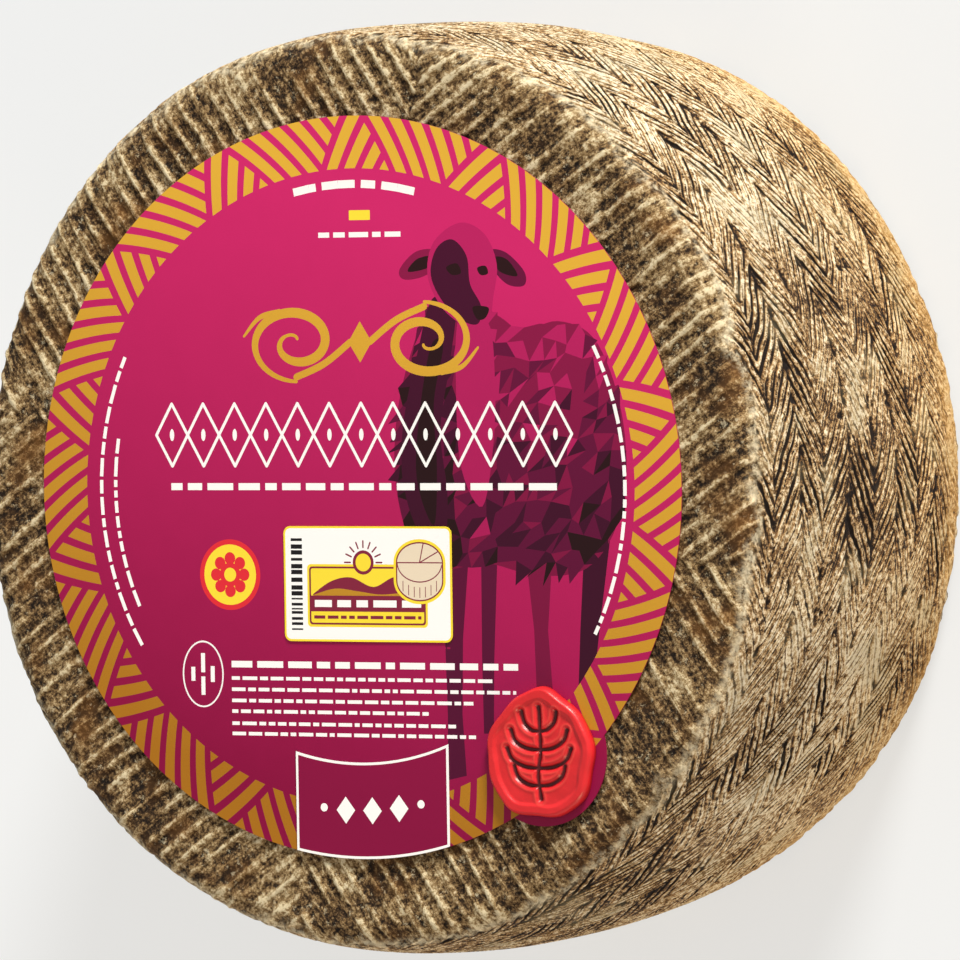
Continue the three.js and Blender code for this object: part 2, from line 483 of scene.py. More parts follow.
@dataclass(frozen=True)
class WaxFinish:
    """Sealing wax: shellac and pigment, poured and pressed while soft.

    It looks bright red and a little greasy, with a faint orange-peel surface. The pressed lines are
    darker, partly where the stamp squeezed the wax thin and partly as painted shade; the raised banks
    beside them carry a painted highlight.
    """

    body: str = "D42428"
    # Painted shade in the pressed lines, partly wax squeezed thin; the next colour is a painted
    # highlight on the raised banks.
    thin: str = "560A10"
    high: str = "E44E40"
    roughness: float = 0.34
    peel: float = 1.6
    bump_height: float = 0.12

    def material(self) -> bpy.types.Material:
        """Builds the wax's material, which reads the seal's press attribute."""
        material, tree, shader = new_material("pressed_sealing_wax")
        place = add_node(tree, "TexCoord", out="Object")
        press = add_node(tree, "Attribute", out="Fac", attribute_name="press")
        peel = add_node(tree, "TexNoise", {
            "Vector": place, "Scale": 1 / (self.peel * MM), "Detail": 3.0, "Roughness": 0.55,
        })
        tint = add_node(tree, "Math", (peel, 0.16, press), operation="MULTIPLY_ADD")
        colour = add_node(
            tree, "ValToRGB", (tint,),
            stops=((0.0, self.high), (0.32, self.body), (0.62, self.body), (0.95, self.thin)),
        )
        bump = add_node(
            tree, "Bump", {"Height": peel, "Distance": self.bump_height * MM, "Strength": 0.7}
        )
        feed(shader, {
            "Base Color": colour, "Normal": bump, "Roughness": self.roughness, "IOR": 1.45,
        })
        return material


# ---- The wheel ------------------------------------------------------------------------------


@dataclass(frozen=True)
class Ring:
    """One ring of the wheel's surface before the relief is pressed in, in millimetres."""

    radius: float
    height: float
    out: float
    up: float
    columns: int


@dataclass(frozen=True)
class Patch:
    """An old patch on the side, darker at strength above 0 and paler below 0: partly real moist and dry
    patches, partly painted light and shade.
    """

    angle_deg: float
    height: float
    reach: float
    strength: float


@dataclass
class CheeseWheel:
    """The wheel: a swelling side printed by a plaited belt and two faces printed by boards."""

    bulge: float = 3.9
    edge: float = 5.5
    columns: int = 1120
    side_step: float = 0.45
    face_step: float = 0.55
    hidden_step: float = 1.1

    # The plaited belt.
    bands: int = 9
    band_height: float = 9.8
    first_band: float = -1.0
    strands: int = 146
    fine_strands: int = 172
    strand_slant_deg: float = 31.0
    groove_depth: float = 0.95
    groove_half_width: float = 0.45
    wander: Waves = ((1.9, 34.0, 0.0), (0.9, 9.0, 0.0))
    warp: Waves = ((0.9, 24.0, 70.0), (0.2, 6.0, 0.0), (0.13, 2.6, 40.0))
    twist: float = 0.07
    twist_length: float = 3.4
    tone: Waves = ((1.3, 14.0, 15.0),)
    seam_depth: float = 0.9
    seam_width: float = 0.7

    # Some patches are painted light and shade, paler towards the key lamp and darker high on the side
    # turned away from it; the others are real moist and dry patches.
    patches: tuple[Patch, ...] = (
        Patch(51.0, 60.0, 30.0, -0.15), Patch(62.0, 18.0, 22.0, -0.07),
        Patch(2.0, 60.0, 38.0, 0.15), Patch(-31.0, 50.0, 23.0, -0.2),
        Patch(-68.0, 84.0, 36.0, 0.24), Patch(-48.0, 12.0, 22.0, -0.08),
        Patch(128.0, 44.0, 34.0, 0.09), Patch(190.0, 66.0, 30.0, -0.08),
        Patch(244.0, 30.0, 28.0, 0.07),
    )

    # The ridged boards.
    ridge_pitch: float = 3.8
    ridge_height: float = 0.8
    ridge_half_width: float = 0.62
    seam_angle_deg: float = -10.0
    bend: Waves = ((0.22, 18.0, 0.0), (0.07, 5.0, 9.0))
    crumbs: Waves = ((0.28, 1.5, 0.0), (0.26, 2.9, 5.0), (0.3, 7.0, 5.0))
    worn_at: Point = (62.0, -60.0)
    worn_reach: float = 34.0
    worn_share: float = 0.6

    # The rough lower rim, and the wheel's own unevenness.
    rim_from: float = 15.0
    rim_to: float = 3.0
    rim_crumbs: Waves = ((0.45, 2.2, 0.0), (0.35, 1.3, 3.0))
    unevenness: Waves = ((0.55, 45.0, 0.0), (0.3, 20.0, 0.0))

    finish: RindFinish = field(default_factory=RindFinish)
    noise: LatticeNoise = field(default_factory=lambda: LatticeNoise(11))

    def __post_init__(self) -> None:
        """Takes the wheel's size from the frame."""
        low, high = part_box("cheese_wheel")
        self.half = Vector(((high.x - low.x) / 2, (high.y - low.y) / 2, high.z - low.z)) / MM
        self.belly = (self.half.x + self.half.y) / 2
        self.height = self.half.z

    def rings(self) -> list[Ring]:
        """Lays out the rings from the middle of the lower face to the middle of the upper one."""
        half = self.height / 2
        arc = (half ** 2 + self.bulge ** 2) / (2 * self.bulge)
        arc_x = self.belly - arc
        edge_x = arc_x + math.sqrt((arc - self.edge) ** 2 - (half - self.edge) ** 2)
        lean = math.atan2(half - self.edge, edge_x - arc_x)
        quarter = math.pi / 2

        lower_face = [
            Ring(radius, 0.0, 0.0, -1.0, self.columns_at(radius, edge_x))
            for radius in np.arange(self.hidden_step, edge_x, self.hidden_step)
        ]
        edge_steps = round(self.edge * (quarter + lean) / self.side_step)
        lower_edge = [
            Ring(
                edge_x + self.edge * math.cos(angle), self.edge * (1 + math.sin(angle)),
                math.cos(angle), math.sin(angle), self.columns,
            )
            for angle in np.linspace(-quarter, -lean, edge_steps)
        ]
        side = [
            Ring(
                arc_x + arc * math.cos(angle), half + arc * math.sin(angle),
                math.cos(angle), math.sin(angle), self.columns,
            )
            for angle in np.linspace(-lean, lean, round(2 * lean * arc / self.side_step))
        ]
        upper_edge = [
            Ring(ring.radius, self.height - ring.height, ring.out, -ring.up, ring.columns)
            for ring in reversed(lower_edge)
        ]
        label_low, label_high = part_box("face_label")
        bare = (label_high.x - label_low.x) / 2 / MM - 4.0
        shown = np.arange(edge_x - self.face_step, bare, -self.face_step)
        hidden = np.arange(bare, self.hidden_step, -2 * self.hidden_step)
        upper_face = [Ring(radius, self.height, 0.0, 1.0, self.columns) for radius in shown]
        upper_face += [
            Ring(radius, self.height, 0.0, 1.0, self.columns_at(radius, bare))
            for radius in hidden
        ]
        return lower_face + lower_edge + side[1:-1] + upper_edge + upper_face

    def columns_at(self, radius: float, full: float) -> int:
        """Halves the columns as the rings of a face get smaller."""
        halvings = max(0, math.floor(math.log2(full / radius)))
        columns = self.columns
        for _ in range(min(halvings + 1, 4)):
            columns = columns // 2 if columns % 2 == 0 else columns
        return columns

    def belt(
        self, turn: np.ndarray, drop: np.ndarray, points: np.ndarray
    ) -> dict[str, np.ndarray]:
        """Works out the print of the plaited belt.

        Args:
            turn: share of a full turn, clockwise seen from above.
            drop: distance below the upper face.
            points: the same places in space, for the noise.

        Returns:
            The relief, which is 0 or less, the rest of the grooves without the gaps between
            strands, the weave (phase as a cosine and a sine, and depth) and the fibre's place.
        """
        noise = self.noise
        level = drop - self.first_band + noise.waves(points, self.wander)
        level /= self.band_height
        band = np.clip(np.floor(level), 0, self.bands - 1)
        across = level - band
        falls = band % 2 == 0
        lean = np.where(falls, 1.0, -1.0)
        strands = np.where(falls, self.strands, self.fine_strands)
        slant = math.radians(self.strand_slant_deg)
        girth = TURN * self.belly
        width = girth * math.sin(slant) / strands
        along = across * self.band_height / math.sin(slant)
        crossed = self.band_height / math.tan(slant) * strands / girth

        spiral = TURN * along / self.twist_length + 3.0 * noise.at(points, 7.0)
        twist = self.twist * np.sin(spiral) * falls
        warp = noise.waves(points, self.warp)
        strand = strands * turn - lean * across * crossed + 0.37 * band + twist + warp
        nearest = np.round(strand)
        number = np.mod(nearest, strands)
        keys = np.stack([number, band, np.zeros_like(band)], axis=1).astype(np.int64)
        own_depth = 0.72 + 0.28 * noise.lattice(keys)
        lane = np.stack([number * 9.0, along, band * 31.0], axis=1)
        fade = np.clip(0.9 + 1.2 * noise.at(lane, 6.0), 0.0, 1.0)
        tone = np.clip(0.85 + noise.waves(points, self.tone), 0.12, 1.0)
        depth = own_depth * fade * tone
        gap = np.abs(strand - nearest) * width
        groove = depth * np.exp(-(gap / self.groove_half_width) ** 2)

        end = np.minimum(across, 1.0 - across) * self.band_height
        dip = self.seam_depth * np.exp(-(end / self.seam_width) ** 2)
        dip *= np.clip(0.1 + 1.3 * noise.at(points, 2.6), 0, 1)
        pits = 0.7 * smooth(0.72, 0.95, noise.at(points + 31.0, 2.4))
        rest = np.maximum(dip, pits)
        phase = TURN * (strand - nearest)
        ring = girth * math.sin(slant) / TURN
        spin = TURN * strand / strands
        return {
            "relief": -self.groove_depth * np.maximum(groove, rest),
            "rest": rest,
            "weave": np.stack([np.cos(phase), np.sin(phase), depth], axis=1),
            "fibre": np.stack(
                [ring * np.cos(spin), ring * np.sin(spin), along + 40.0 * band], axis=1
            ),
        }

    def damp_and_painted_light(self, points: np.ndarray) -> np.ndarray:
        """How much the old patches darken each place on the side, with paler places below 0: partly
        real moist and dry patches, partly painted light and shade.
        """
        angle = np.arctan2(points[:, 1], points[:, 0])
        total = np.zeros(len(points))
        for patch in self.patches:
            turn = np.mod(angle - math.radians(patch.angle_deg) + math.pi, TURN) - math.pi
            away = np.hypot(turn * self.belly, points[:, 2] - patch.height)
            away *= 1 + 0.3 * self.noise.at(points, 16.0)
            total += patch.strength * np.exp(-(away / patch.reach) ** 2)
        return total

    def boards(self, points: np.ndarray) -> tuple[np.ndarray, np.ndarray]:
        """Works out the print of the ridged boards: four quarters of straight ridges.

        Args:
            points: places in space. Only X and Y steer the ridges.

        Returns:
            The relief, which is 0 or less, and the fibre's place.
        """
        noise = self.noise
        angle = np.arctan2(points[:, 1], points[:, 0]) - math.radians(self.seam_angle_deg)
        quarter = math.pi / 2
        seam_wander = 0.04 * noise.at(points, 12.0)
        middle = (np.floor((angle + seam_wander) / quarter) + 0.5) * quarter
        turned = angle - middle
        radius = np.hypot(points[:, 0], points[:, 1])
        across = radius * np.sin(turned)
        along = radius * np.cos(turned)
        ridge = across / self.ridge_pitch + noise.waves(points, self.bend)
        nearest = np.round(ridge)
        gap = np.abs(ridge - nearest) * self.ridge_pitch
        lane = np.stack([nearest * 7.0, along, 13.0 * middle], axis=1)
        stand = np.clip(0.7 + 0.8 * noise.at(lane, 7.0), 0.0, 1.0)
        # Hands and shelves have worn the ridges down on one side of the wheel.
        away = np.hypot(points[:, 0] - self.worn_at[0], points[:, 1] - self.worn_at[1])
        stand *= 1.0 - self.worn_share * np.exp(-(away / self.worn_reach) ** 2)
        crest = stand * np.exp(-(gap / self.ridge_half_width) ** 2)
        crumbs = noise.waves(points, self.crumbs)
        relief = self.ridge_height * (np.clip(crest + 0.2 + crumbs, 0.0, 1.0) - 1.0)
        return relief, np.stack([across, np.zeros_like(across), along], axis=1)

    def surface(self, rings: list[Ring]) -> dict[str, np.ndarray]:
        """Presses the relief into the rings.

        Args:
            rings: the plain surface.

        Returns:
            The vertices in millimetres and the attributes that the rind's material reads.
        """
        columns = np.array([ring.columns for ring in rings])
        of_ring = np.repeat(np.arange(len(rings)), columns)
        place = np.concatenate([np.arange(count) / count for count in columns])
        radius, height, out, up = (
            np.array([getattr(ring, name) for ring in rings])[of_ring]
            for name in ("radius", "height", "out", "up")
        )
        cosine, sine = np.cos(-TURN * place), np.sin(-TURN * place)
        points = np.stack([radius * cosine, radius * sine, height], axis=1)
        drop = self.height - height

        belt = self.belt(place, drop, points)
        boards, board_fibre = self.boards(points)
        from_face = np.minimum(drop, height)
        board = 1.0 - smooth(0.8, 5.0, from_face + 1.6 * self.noise.at(points, 6.0))
        board = np.where(np.abs(up) > 0.999, 1.0, board)
        rim_height = height + 3.0 * self.noise.at(points, 9.0)
        rim = smooth(self.rim_from, self.rim_to, rim_height) * (1 - board)
        rough = self.noise.waves(points, self.rim_crumbs)
        print_left = (1 - 0.75 * rim) * (1 - board)
        relief = board * boards + print_left * belt["relief"]
        relief += (1 - board) * rim * np.clip(rough, -1.0, 0.1)

        uneven = self.noise.waves(points, self.unevenness) * (1 - board ** 2)
        push = relief + np.where(np.abs(up) > 0.999, 0.0, uneven)
        normals = np.stack([out * cosine, out * sine, up], axis=1)
        stretch = np.array([self.half.x / self.belly, self.half.y / self.belly, 1.0])
        # The rind never goes below the surface that the wheel stands on.
        pressed = (points + push[:, None] * normals) * stretch
        pressed[:, 2] = np.clip(pressed[:, 2], 0.0, self.height)
        rest = board * -boards / self.ridge_height + print_left * belt["rest"]
        return {
            "points": pressed,
            "groove": np.clip(rest, 0.0, 1.0),
            "board": board,
            "rim": rim,
            "damp_and_painted_light": self.damp_and_painted_light(points),
            "weave": belt["weave"],
            "fibre": np.where(board[:, None] > 0.5, board_fibre, belt["fibre"]),
        }

    def faces(self, rings: list[Ring]) -> list[tuple[int, ...]]:
        """Joins the rings, and closes each end with a fan round a middle vertex."""
        starts = np.cumsum([0] + [ring.columns for ring in rings])
        faces: list[tuple[int, ...]] = []
        for lower, upper, start, after in zip(rings, rings[1:], starts, starts[1:]):
            small = min(lower.columns, upper.columns)
            step_low, step_up = lower.columns // small, upper.columns // small
            for index in range(small):
                low = [start + (index * step_low + k) % lower.columns for k in range(step_low + 1)]
                high = [after + (index * step_up + k) % upper.columns for k in range(step_up + 1)]
                faces.append(tuple(int(corner) for corner in (*low, *reversed(high))))
        middle = int(starts[-1])
        first, last = rings[0].columns, rings[-1].columns
        faces += [(middle, (k + 1) % first, k) for k in range(first)]
        top = int(starts[-2])
        faces += [(middle + 1, top + k, top + (k + 1) % last) for k in range(last)]
        return faces

    def build(self) -> bpy.types.Object:
        """Builds and dresses the wheel."""
        rings = self.rings()
        surface = self.surface(rings)
        middles = np.array([[0.0, 0.0, 0.0], [0.0, 0.0, self.height]])
        points = np.concatenate([surface["points"], middles]) * MM
        mesh = bpy.data.meshes.new("cheese_wheel_rind")
        # Columns run clockwise, so each face is turned round to look outwards.
        faces = [tuple(reversed(face)) for face in self.faces(rings)]
        mesh.from_pydata(points.tolist(), [], faces)
        for name in RIND_MARKS:
            values = np.concatenate([surface[name], [0.0, 0.0]]).astype(np.float32)
            mesh.attributes.new(name, "FLOAT", "POINT").data.foreach_set("value", values)
        for name in ("weave", "fibre"):
            values = np.concatenate([surface[name], np.zeros((2, 3))]).astype(np.float32)
            mesh.attributes.new(name, "FLOAT_VECTOR", "POINT").data.foreach_set(
                "vector", values.ravel()
            )
        mesh.shade_smooth()
        mesh.materials.append(self.finish.material())
        return stand_for(mesh, "cheese_wheel")


# ---- Printed paper --------------------------------------------------------------------------


def arc(centre: Point, radius: float, start: float, end: float, steps: int) -> list[Point]:
    """Points along an arc.

    Args:
        centre: the arc's centre.
        radius: its radius.
        start: first angle in degrees.
        end: last angle in degrees.
        steps: how many steps between them.

    Returns:
        The points, both ends included.
    """
    angles = [math.radians(start + (end - start) * step / steps) for step in range(steps + 1)]
    return [
        (centre[0] + radius * math.cos(angle), centre[1] + radius * math.sin(angle))
        for angle in angles
    ]


def oval(centre: Point, half_width: float, half_height: float, steps: int = 48) -> list[Point]:
    """The outline of an upright oval."""
    turns = [TURN * step / steps for step in range(steps)]
    return [
        (centre[0] + half_width * math.cos(turn), centre[1] + half_height * math.sin(turn))
        for turn in turns
    ]


def rounded(low: Point, high: Point, corner: float) -> list[Point]:
    """The outline of a rectangle with rounded corners."""
    corners = (
        (high[0] - corner, high[1] - corner, 0), (low[0] + corner, high[1] - corner, 90),
        (low[0] + corner, low[1] + corner, 180), (high[0] - corner, low[1] + corner, 270),
    )
    return [
        point for x, y, angle in corners for point in arc((x, y), corner, angle, angle + 90, 5)
    ]


def curve(points: Sequence[Point], steps: int = 6, closed: bool = True) -> list[Point]:
    """A smooth curve through the given points.

    Args:
        points: the points that shape it.
        steps: how many steps between two of them.
        closed: whether it comes back to its start.

    Returns:
        The points along the curve.
    """
    count = len(points)
    result: list[Point] = []
    for index in range(count if closed else count - 1):
        if closed:
            four = [points[(index + k - 1) % count] for k in range(4)]
        else:
            four = [points[min(max(index + k - 1, 0), count - 1)] for k in range(4)]
        for step in range(steps):
            t = step / steps
            weights = (
                -0.5 * t + t * t - 0.5 * t ** 3, 1 - 2.5 * t * t + 1.5 * t ** 3,
                0.5 * t + 2 * t * t - 1.5 * t ** 3, -0.5 * t * t + 0.5 * t ** 3,
            )
            x, y = (sum(w * p[axis] for w, p in zip(weights, four)) for axis in (0, 1))
            result.append((x, y))
    return result if closed else [*result, points[-1]]


def inside(point: Point, outline: Sequence[Point]) -> bool:
    """Whether a point lies inside an outline."""
    crossings = 0
    for (x0, y0), (x1, y1) in zip(outline, [*outline[1:], outline[0]]):
        if (y0 > point[1]) != (y1 > point[1]):
            crossings += point[0] < x0 + (point[1] - y0) * (x1 - x0) / (y1 - y0)
    return crossings % 2 == 1


@dataclass
class InkLayer:
    """The shapes printed on one sheet, in the order in which they cover each other."""

    shapes: list[tuple[list[Point], Ink]] = field(default_factory=list)
    word_gap: float = 0.9
    word_lengths: tuple[float, float] = (1.6, 5.0)
    cut: float = 4.0

    def fill(self, outline: list[Point], ink: Ink) -> None:
        """Fills an outline, which is turned to run anticlockwise as the mesh cutter needs."""
        after = [*outline[1:], outline[0]]
        area = sum(a[0] * b[1] - b[0] * a[1] for a, b in zip(outline, after))
        self.shapes.append((outline if area > 0 else outline[::-1], ink))

    def stroke(self, line: Sequence[Point], widths: float | Sequence[float], ink: Ink) -> None:
        """Draws a line with round joints.

        Args:
            line: its points.
            widths: its width, or its width at each point.
            ink: its ink.
        """
        sizes = [widths] * len(line) if isinstance(widths, (int, float)) else list(widths)
        for (a, b), (size_a, size_b) in zip(zip(line, line[1:]), zip(sizes, sizes[1:])):
            run = Vector((b[0] - a[0], b[1] - a[1]))
            if run.length < 1e-6:
                continue
            side = Vector((-run.y, run.x)).normalized()
            ends = ((a, size_a), (a, -size_a), (b, -size_b), (b, size_b))
            self.fill([(x + side.x * w / 2, y + side.y * w / 2) for (x, y), w in ends], ink)
        for point, size in zip(line, sizes):
            self.fill(oval(point, size / 2, size / 2, 8), ink)

    def dashes(
        self, at: Callable[[float], tuple[Vector, float]], length: float, height: float, ink: Ink,
        seed: int,
    ) -> None:
        """Prints a row of short bars, as wide as words, that stand for small print.

        Args:
            at: gives the place and the direction in radians at a distance along the row.
            length: the row's length.
            height: the bars' height.
            ink: their ink.
            seed: steers the bars' lengths.
        """
        pick = np.random.default_rng(seed)
        reached = 0.0
        while reached < length - height:
            word = min(height * pick.uniform(*self.word_lengths), length - reached)
            for start in np.arange(reached, reached + word, self.cut):
                end = min(start + self.cut, reached + word)
                middle, angle = at((start + end) / 2)
                half = Vector((math.cos(angle), math.sin(angle))) * (end - start) / 2
                side = Vector((-math.sin(angle), math.cos(angle))) * height / 2
                corners = (
                    middle + half + side, middle - half + side,
                    middle - half - side, middle + half - side,
                )
                self.fill([tuple(corner) for corner in corners], ink)
            reached += word + height * self.word_gap

    def row(
        self, start: Point, length: float, height: float, ink: Ink, seed: int, upright: bool = False
    ) -> None:
        """Prints a straight row of small print."""
        angle = math.pi / 2 if upright else 0.0

        def place(reach: float) -> tuple[Vector, float]:
            """Where the row is at that distance along it, and its direction."""
            x, y = start[0] + reach * math.cos(angle), start[1] + reach * math.sin(angle)
            return Vector((x, y)), angle

        self.dashes(place, length, height, ink, seed)

    def bow(
        self, radius: float, start_deg: float, end_deg: float, height: float, seed: int
    ) -> None:
        """Prints a row of white small print along an arc round the sheet's centre."""
        sign = math.copysign(1.0, end_deg - start_deg)

        def place(reach: float) -> tuple[Vector, float]:
            """Where the row is at that distance along it, and its direction."""
            angle = math.radians(start_deg) + sign * reach / radius
            point = Vector((radius * math.cos(angle), radius * math.sin(angle)))
            return point, angle + sign * math.pi / 2

        length = abs(math.radians(end_deg - start_deg)) * radius
        self.dashes(place, length, height, Ink.WHITE, seed)


@dataclass
class PrintedSheet:
    """Thin paper with a flat outline and areas of ink, one closed mesh."""

    node: str
    slot: str
    outline: list[Point]
    centre: Point
    ink: InkLayer
    ground: Ink
    finish: PrintFinish = field(default_factory=PrintFinish)
    mesh_step: float = 4.0
    ripple: float = 0.03

    def lift(self, x: float, y: float) -> float:
        """How far the paper rises where the rind beneath is uneven."""
        return self.ripple * (math.sin(x / 9.0 + 1.3) + math.sin(y / 11.0 - x / 23.0))

    def build(self) -> bpy.types.Object:
        """Cuts the sheet along its inks, gives it thickness and dresses it.

        Returns:
            The sheet.
        """
        areas = [(self.outline, self.ground), *self.ink.shapes]
        corners: list[Vector] = []
        faces: list[list[int]] = []
        for area, _ in areas:
            faces.append(list(range(len(corners), len(corners) + len(area))))
            corners += [Vector(point) for point in area]
        spans = [np.arange(min(side), max(side), self.mesh_step) for side in zip(*self.outline)]
        corners += [Vector(point) for point in itertools.product(*spans)]
        flat, _, cut, _, _, origins = delaunay_2d_cdt(corners, [], faces, 1, 1e-5)

        kept = [(face, max(origin)) for face, origin in zip(cut, origins) if 0 in origin]
        used = sorted({corner for face, _ in kept for corner in face})
        index = {corner: place for place, corner in enumerate(used)}
        top_faces = [tuple(index[corner] for corner in face) for face, _ in kept]
        edges = {(a, b) for face in top_faces for a, b in zip(face, face[1:] + face[:1])}
        rim = [(a, b) for a, b in edges if (b, a) not in edges]
        low, high = box_mm(self.node)
        places = [(flat[corner].x + self.centre[0], flat[corner].y + self.centre[1])
                  for corner in used]
        points = [
            (x * MM, y * MM, (low.z + level + self.lift(x, y)) * MM)
            for level in (high.z - low.z, 0.0) for x, y in places
        ]
        count = len(used)
        bottom = [tuple(corner + count for corner in reversed(face)) for face in top_faces]
        walls = [(b, a, a + count, b + count) for a, b in rim]
        mesh = bpy.data.meshes.new(f"{self.node}_print")
        mesh.from_pydata(points, [], top_faces + bottom + walls)
        self.finish.dress(mesh)
        slots = [areas[origin][1].slot for _, origin in kept]
        slots += [Ink.PAPER.slot] * len(bottom) + [self.ground.slot] * len(walls)
        mesh.polygons.foreach_set("material_index", slots)
        mesh.validate()
        return stand_for(mesh, self.node)


@dataclass
class PlaitBorder:
    """The label's border: slanted gold bars in wedges that lean left and right by turns."""

    outer: float
    width: float = 11.2
    repeats: int = 14
    first_deg: float = 112.6
    pitches: int = 7
    bar: float = 0.6
    falling: float = 1.69
    rising: float = -1.25
    falling_bars: int = 6
    rising_bars: int = 4
    steps: int = 8

    def place(self, pitch: float, depth: float) -> Point:
        """The point at a number of pitches clockwise and a depth from 0, outside, to 1, inside."""
        angle = math.radians(self.first_deg - pitch * 360 / (self.repeats * self.pitches))
        radius = self.outer - depth * self.width
        return radius * math.cos(angle), radius * math.sin(angle)

    def bar_outline(
        self, start: float, slant: float, wall: float, wall_slant: float
    ) -> list[Point]:
        """One bar, cut off where it meets the wall of the next wedge.

        Args:
            start: the bar's left edge on the outer circle, in pitches.
            slant: how far it moves clockwise by the inner circle.
            wall: the next wedge's wall on the outer circle.
            wall_slant: how far the wall moves clockwise by the inner circle.

        Returns:
            The outline, with enough points to follow the circles.
        """
        left: list[tuple[float, float]] = []
        right: list[tuple[float, float]] = []
        for step in range(self.steps + 1):
            depth = step / self.steps
            low = start + slant * depth
            high = min(low + self.bar, wall + wall_slant * depth)
            if high > low + 1e-6:
                left.append((low, depth))
                right.append((high, depth))
        meet = (wall - start) / (slant - wall_slant)
        if 0 < meet < 1:
            tip = (start + slant * meet, meet)
            left = [*left, tip] if slant > wall_slant else [tip, *left]
            corner_depth = (wall - start - self.bar) / (slant - wall_slant)
            if 0 < corner_depth < 1:
                corner = (start + self.bar + slant * corner_depth, corner_depth)
                right.append(corner)
                right.sort(key=lambda pair: pair[1])
        return [self.place(*pair) for pair in (*left, *reversed(right))]

    def print_on(self, ink: InkLayer) -> None:
        """Prints every bar."""
        margin = 1 - self.bar
        for repeat in range(self.repeats):
            first = repeat * self.pitches
            wall = first + self.falling_bars - margin
            for bar in range(self.falling_bars):
                ink.fill(self.bar_outline(first + bar, self.falling, wall, self.rising), Ink.GOLD)
            next_wall = first + self.pitches - margin
            for bar in range(self.rising_bars):
                start = first + self.falling_bars + bar
                outline = self.bar_outline(start, self.rising, next_wall, self.falling)
                if len(outline) > 2:
                    ink.fill(outline, Ink.GOLD)


